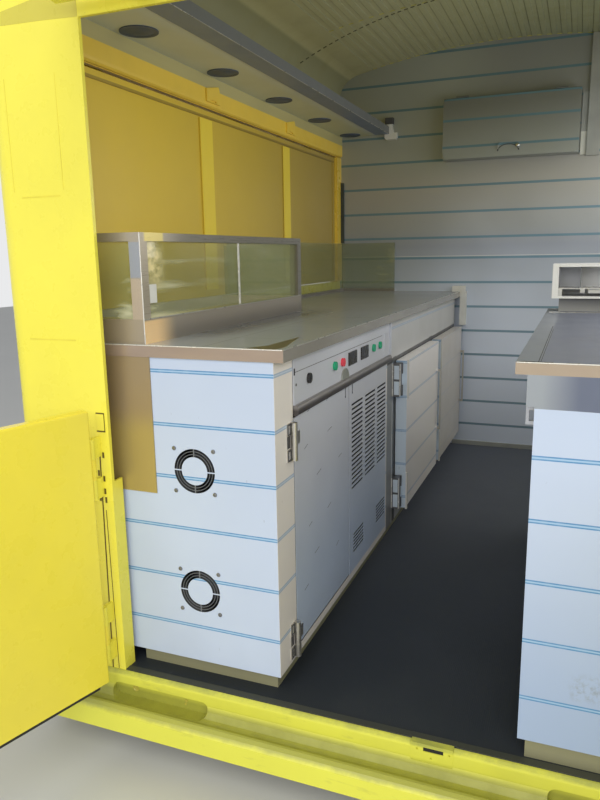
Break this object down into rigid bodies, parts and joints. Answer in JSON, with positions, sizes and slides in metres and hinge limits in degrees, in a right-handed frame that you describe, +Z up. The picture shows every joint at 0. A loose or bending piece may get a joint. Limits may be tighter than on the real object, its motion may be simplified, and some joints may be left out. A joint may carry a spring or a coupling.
{
  "type": "ice cream truck service body",
  "caption": "Fitted service body of an ice cream truck: yellow shell with rear half doors, top flap and side hatch, refrigerated counters with a glass guard, and a wall cupboard.",
  "frame": {"origin": "centre of the underframe's footprint, on the plane its rails stand on", "axes": "+X to the vehicle's right, +Y forward towards the cab, +Z up"},
  "size_m": [1.833, 3.3735, 2.278],
  "materials": {
    "body_yellow": "gloss yellow paint, brushed on over old panels",
    "frame_paint": "dull dark underbody paint",
    "rubber_mat": "fine ribbed rubber floor",
    "bare_steel": "brushed stainless sheet",
    "dark_steel": "dark brushed pull profile",
    "plinth_steel": "satin steel reflecting the yellow body",
    "filmed_steel": "steel sheet under white protective film with blue double lines",
    "soffit_cream": "satin cream board",
    "white_plastic": "satin",
    "trim_grey": "satin grey trim",
    "black_rubber": "soft black sealing strip",
    "dark_plastic": "matt",
    "green_plastic": "gloss",
    "red_plastic": "gloss",
    "clear_glass": "flat float glass, slightly green"
  },
  "bodies": {
    "shell": {"frame_rails": "frame_paint", "cross_members": "frame_paint", "rockers": "body_yellow", "wheel_boxes": "body_yellow", "floor_pan": "frame_paint", "floor_mat": "rubber_mat", "rear_step": "body_yellow", "step_catch": "bare_steel", "side_wall_left": "body_yellow", "side_wall_right": "body_yellow", "cantrail_left": "body_yellow", "hatch_pillars": "body_yellow", "rear_post_left": "body_yellow", "rear_post_right": "body_yellow", "rear_header": "body_yellow", "roof": "body_yellow", "bulkhead": "body_yellow", "bulkhead_lining": "filmed_steel", "bulkhead_trim": "trim_grey", "end_blocks": "white_plastic", "corner_seal": "black_rubber", "hatch_rail": "body_yellow", "soffit": "soffit_cream", "soffit_channel": "bare_steel", "downlights": "dark_plastic", "wall_cupboard": "filmed_steel", "left_end_panel": "filmed_steel", "left_machine_bay": "filmed_steel", "left_fridge_body": "filmed_steel", "plinths": "plinth_steel", "left_worktop": "bare_steel", "display_riser": "bare_steel", "guard_frame": "bare_steel", "guard_glass": "clear_glass", "end_plate": "bare_steel", "control_fascia": "filmed_steel", "red_button": "red_plastic", "pull_channel": "dark_steel", "louvre_panel": "filmed_steel", "compressor": "dark_plastic", "green_buttons": "green_plastic", "dark_controls": "dark_plastic", "fan_frames": "dark_plastic", "right_carcass": "filmed_steel", "right_worktop": "bare_steel", "right_box": "bare_steel"},
    "rear_door_left": {"rear_door_left": "body_yellow", "rear_door_seal_left": "black_rubber"},
    "rear_door_right": {"rear_door_right": "body_yellow", "rear_door_seal_right": "black_rubber"},
    "rear_flap": {"rear_flap": "body_yellow"},
    "side_hatch": {"side_hatch": "body_yellow"},
    "cupboard_door": {"cupboard_door": "filmed_steel"},
    "service_door": {"service_door": "filmed_steel"},
    "fridge_door_near": {"fridge_door_near": "filmed_steel"},
    "fridge_door_far": {"fridge_door_far": "filmed_steel"},
    "right_door_near": {"right_door_near": "filmed_steel"},
    "right_door_far": {"right_door_far": "filmed_steel"},
    "fan_rotor_upper": {"fan_rotor_upper": "dark_plastic"},
    "fan_rotor_lower": {"fan_rotor_lower": "dark_plastic"}
  },
  "joints": [
    {"name": "rear_door_left_hinge", "type": "hinge", "parent": "shell", "child": "rear_door_left", "pos_m": [-0.657, -1.203, 0.55], "axis": [0, 0, 1], "range_deg": [0, 106]},
    {"name": "rear_door_right_hinge", "type": "hinge", "parent": "shell", "child": "rear_door_right", "pos_m": [0.657, -1.203, 0.55], "axis": [0, 0, -1], "range_deg": [0, 106]},
    {"name": "rear_flap_hinge", "type": "hinge", "parent": "shell", "child": "rear_flap", "pos_m": [0, -1.203, 1.769], "axis": [1, 0, 0], "range_deg": [0, 100]},
    {"name": "side_hatch_hinge", "type": "hinge", "parent": "shell", "child": "side_hatch", "pos_m": [-0.915, 0.096, 1.748], "axis": [0, 1, 0], "range_deg": [0, 88]},
    {"name": "cupboard_door_hinge", "type": "hinge", "parent": "shell", "child": "cupboard_door", "pos_m": [0.024, 1.1825, 1.983], "axis": [-1, 0, 0], "range_deg": [0, 85]},
    {"name": "service_door_hinge", "type": "hinge", "parent": "shell", "child": "service_door", "pos_m": [-0.2125, -1.028, 0.56], "axis": [0, 0, -1], "range_deg": [0, 100]},
    {"name": "fridge_door_near_hinge", "type": "hinge", "parent": "shell", "child": "fridge_door_near", "pos_m": [-0.199, -0.035, 0.58], "axis": [0, 0, -1], "range_deg": [0, 60]},
    {"name": "fridge_door_far_hinge", "type": "hinge", "parent": "shell", "child": "fridge_door_far", "pos_m": [-0.199, 0.628, 0.58], "axis": [0, 0, -1], "range_deg": [0, 90]},
    {"name": "right_door_near_hinge", "type": "hinge", "parent": "shell", "child": "right_door_near", "pos_m": [0.334, -0.704, 0.62], "axis": [0, 0, -1], "range_deg": [0, 90]},
    {"name": "right_door_far_hinge", "type": "hinge", "parent": "shell", "child": "right_door_far", "pos_m": [0.334, -0.214, 0.62], "axis": [0, 0, -1], "range_deg": [0, 90]},
    {"name": "fan_upper_spin", "type": "hinge", "parent": "shell", "child": "fan_rotor_upper", "pos_m": [-0.432, -1.09, 0.747], "axis": [0, 1, 0], "continuous": true},
    {"name": "fan_lower_spin", "type": "hinge", "parent": "shell", "child": "fan_rotor_lower", "pos_m": [-0.432, -1.09, 0.44], "axis": [0, 1, 0], "continuous": true}
  ]
}
